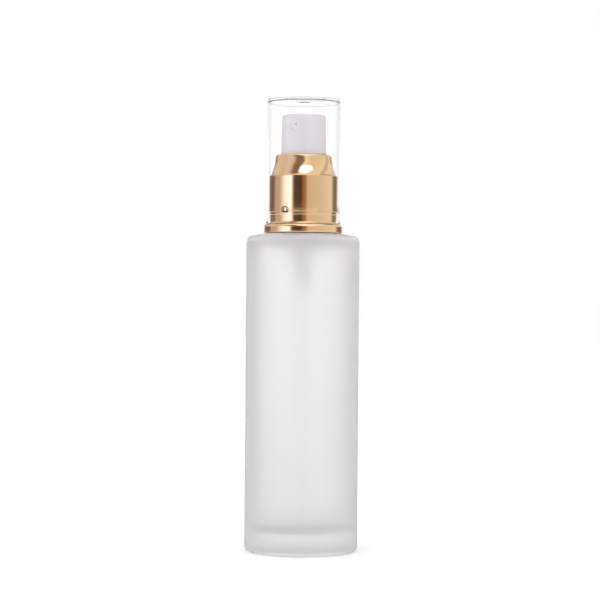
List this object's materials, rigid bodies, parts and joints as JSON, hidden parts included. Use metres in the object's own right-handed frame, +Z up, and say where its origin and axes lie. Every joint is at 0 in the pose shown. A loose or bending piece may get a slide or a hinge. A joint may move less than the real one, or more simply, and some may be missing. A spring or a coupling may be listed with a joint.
{
  "type": "foundation bottle",
  "caption": "Tall cylindrical frosted glass cosmetic bottle with a screw-on treatment pump, stepped gold metal collar, white press-down head and clear pull-off overcap.",
  "frame": {"origin": "centre of the base, on the plane the bottle stands on", "axes": "+Z up along the bottle's axis; the front is -Y, and the spout points 21.5 degrees from it towards -X"},
  "size_m": [0.04, 0.04, 0.1596],
  "materials": {
    "frosted_glass": "acid-etched, satin frosted outside",
    "gold_metal": "polished gold anodised",
    "white_polypropylene": "satin moulded",
    "natural_polypropylene": "milky natural moulded",
    "seal_polyethylene": "waxy, slightly translucent",
    "gasket_foam": "fine closed-cell foam",
    "stainless_steel": "bright drawn",
    "clear_plastic": "water-clear polished moulded"
  },
  "bodies": {
    "bottle": {"glass_bottle": "frosted_glass"},
    "pump_core": {"pump_housing": "natural_polypropylene", "neck_gasket": "gasket_foam", "stem_guide": "white_polypropylene", "stem_wiper": "seal_polyethylene", "ball_retainer": "natural_polypropylene", "dip_tube": "seal_polyethylene"},
    "closure": {"closure_cap": "natural_polypropylene", "collar_shell": "gold_metal"},
    "cap": {"overcap": "clear_plastic"},
    "stem": {"upper_stem": "white_polypropylene", "stem_plug": "white_polypropylene", "return_spring": "stainless_steel"},
    "actuator": {"actuator_head": "white_polypropylene", "nozzle_insert": "white_polypropylene"},
    "piston_ring": {"piston": "seal_polyethylene"},
    "inlet_valve": {"inlet_ball": "stainless_steel"},
    "outlet_valve": {"outlet_ball": "stainless_steel"}
  },
  "joints": [
    {"name": "pump_lift", "type": "slide", "parent": "bottle", "child": "pump_core", "axis": [0, 0, 1], "range_m": [0, 0.00476]},
    {"name": "closure_turn", "type": "hinge", "parent": "pump_core", "child": "closure", "pos_m": [0, 0, 0.12], "axis": [0, 0, 1], "range_deg": [0, 540]},
    {"name": "overcap_pull", "type": "slide", "parent": "closure", "child": "cap", "axis": [0, 0, 1], "range_m": [0, 0.045]},
    {"name": "stem_stroke", "type": "slide", "parent": "pump_core", "child": "stem", "axis": [0, 0, 1], "range_m": [-0.0055, 0], "stiffness_N_per_m": 1450, "springref_m": 0.0055, "deforming": ["return_spring"]},
    {"name": "actuator_swivel", "type": "hinge", "parent": "stem", "child": "actuator", "pos_m": [0, 0, 0.145], "axis": [0, 0, 1], "continuous": true},
    {"name": "piston_slide", "type": "slide", "parent": "pump_core", "child": "piston_ring", "axis": [0, 0, 1], "range_m": [-0.0047, 0]},
    {"name": "inlet_ball_lift", "type": "slide", "parent": "pump_core", "child": "inlet_valve", "axis": [0, 0, 1], "range_m": [0, 0.0012]},
    {"name": "outlet_ball_lift", "type": "slide", "parent": "stem", "child": "outlet_valve", "axis": [0, 0, 1], "range_m": [0, 0.0012]}
  ],
  "couplings": [
    {"joint": "closure_turn", "follows": "pump_lift", "rad_per_m": 1979},
    {"joint": "piston_slide", "follows": "stem_stroke", "ratio": 0.85}
  ]
}
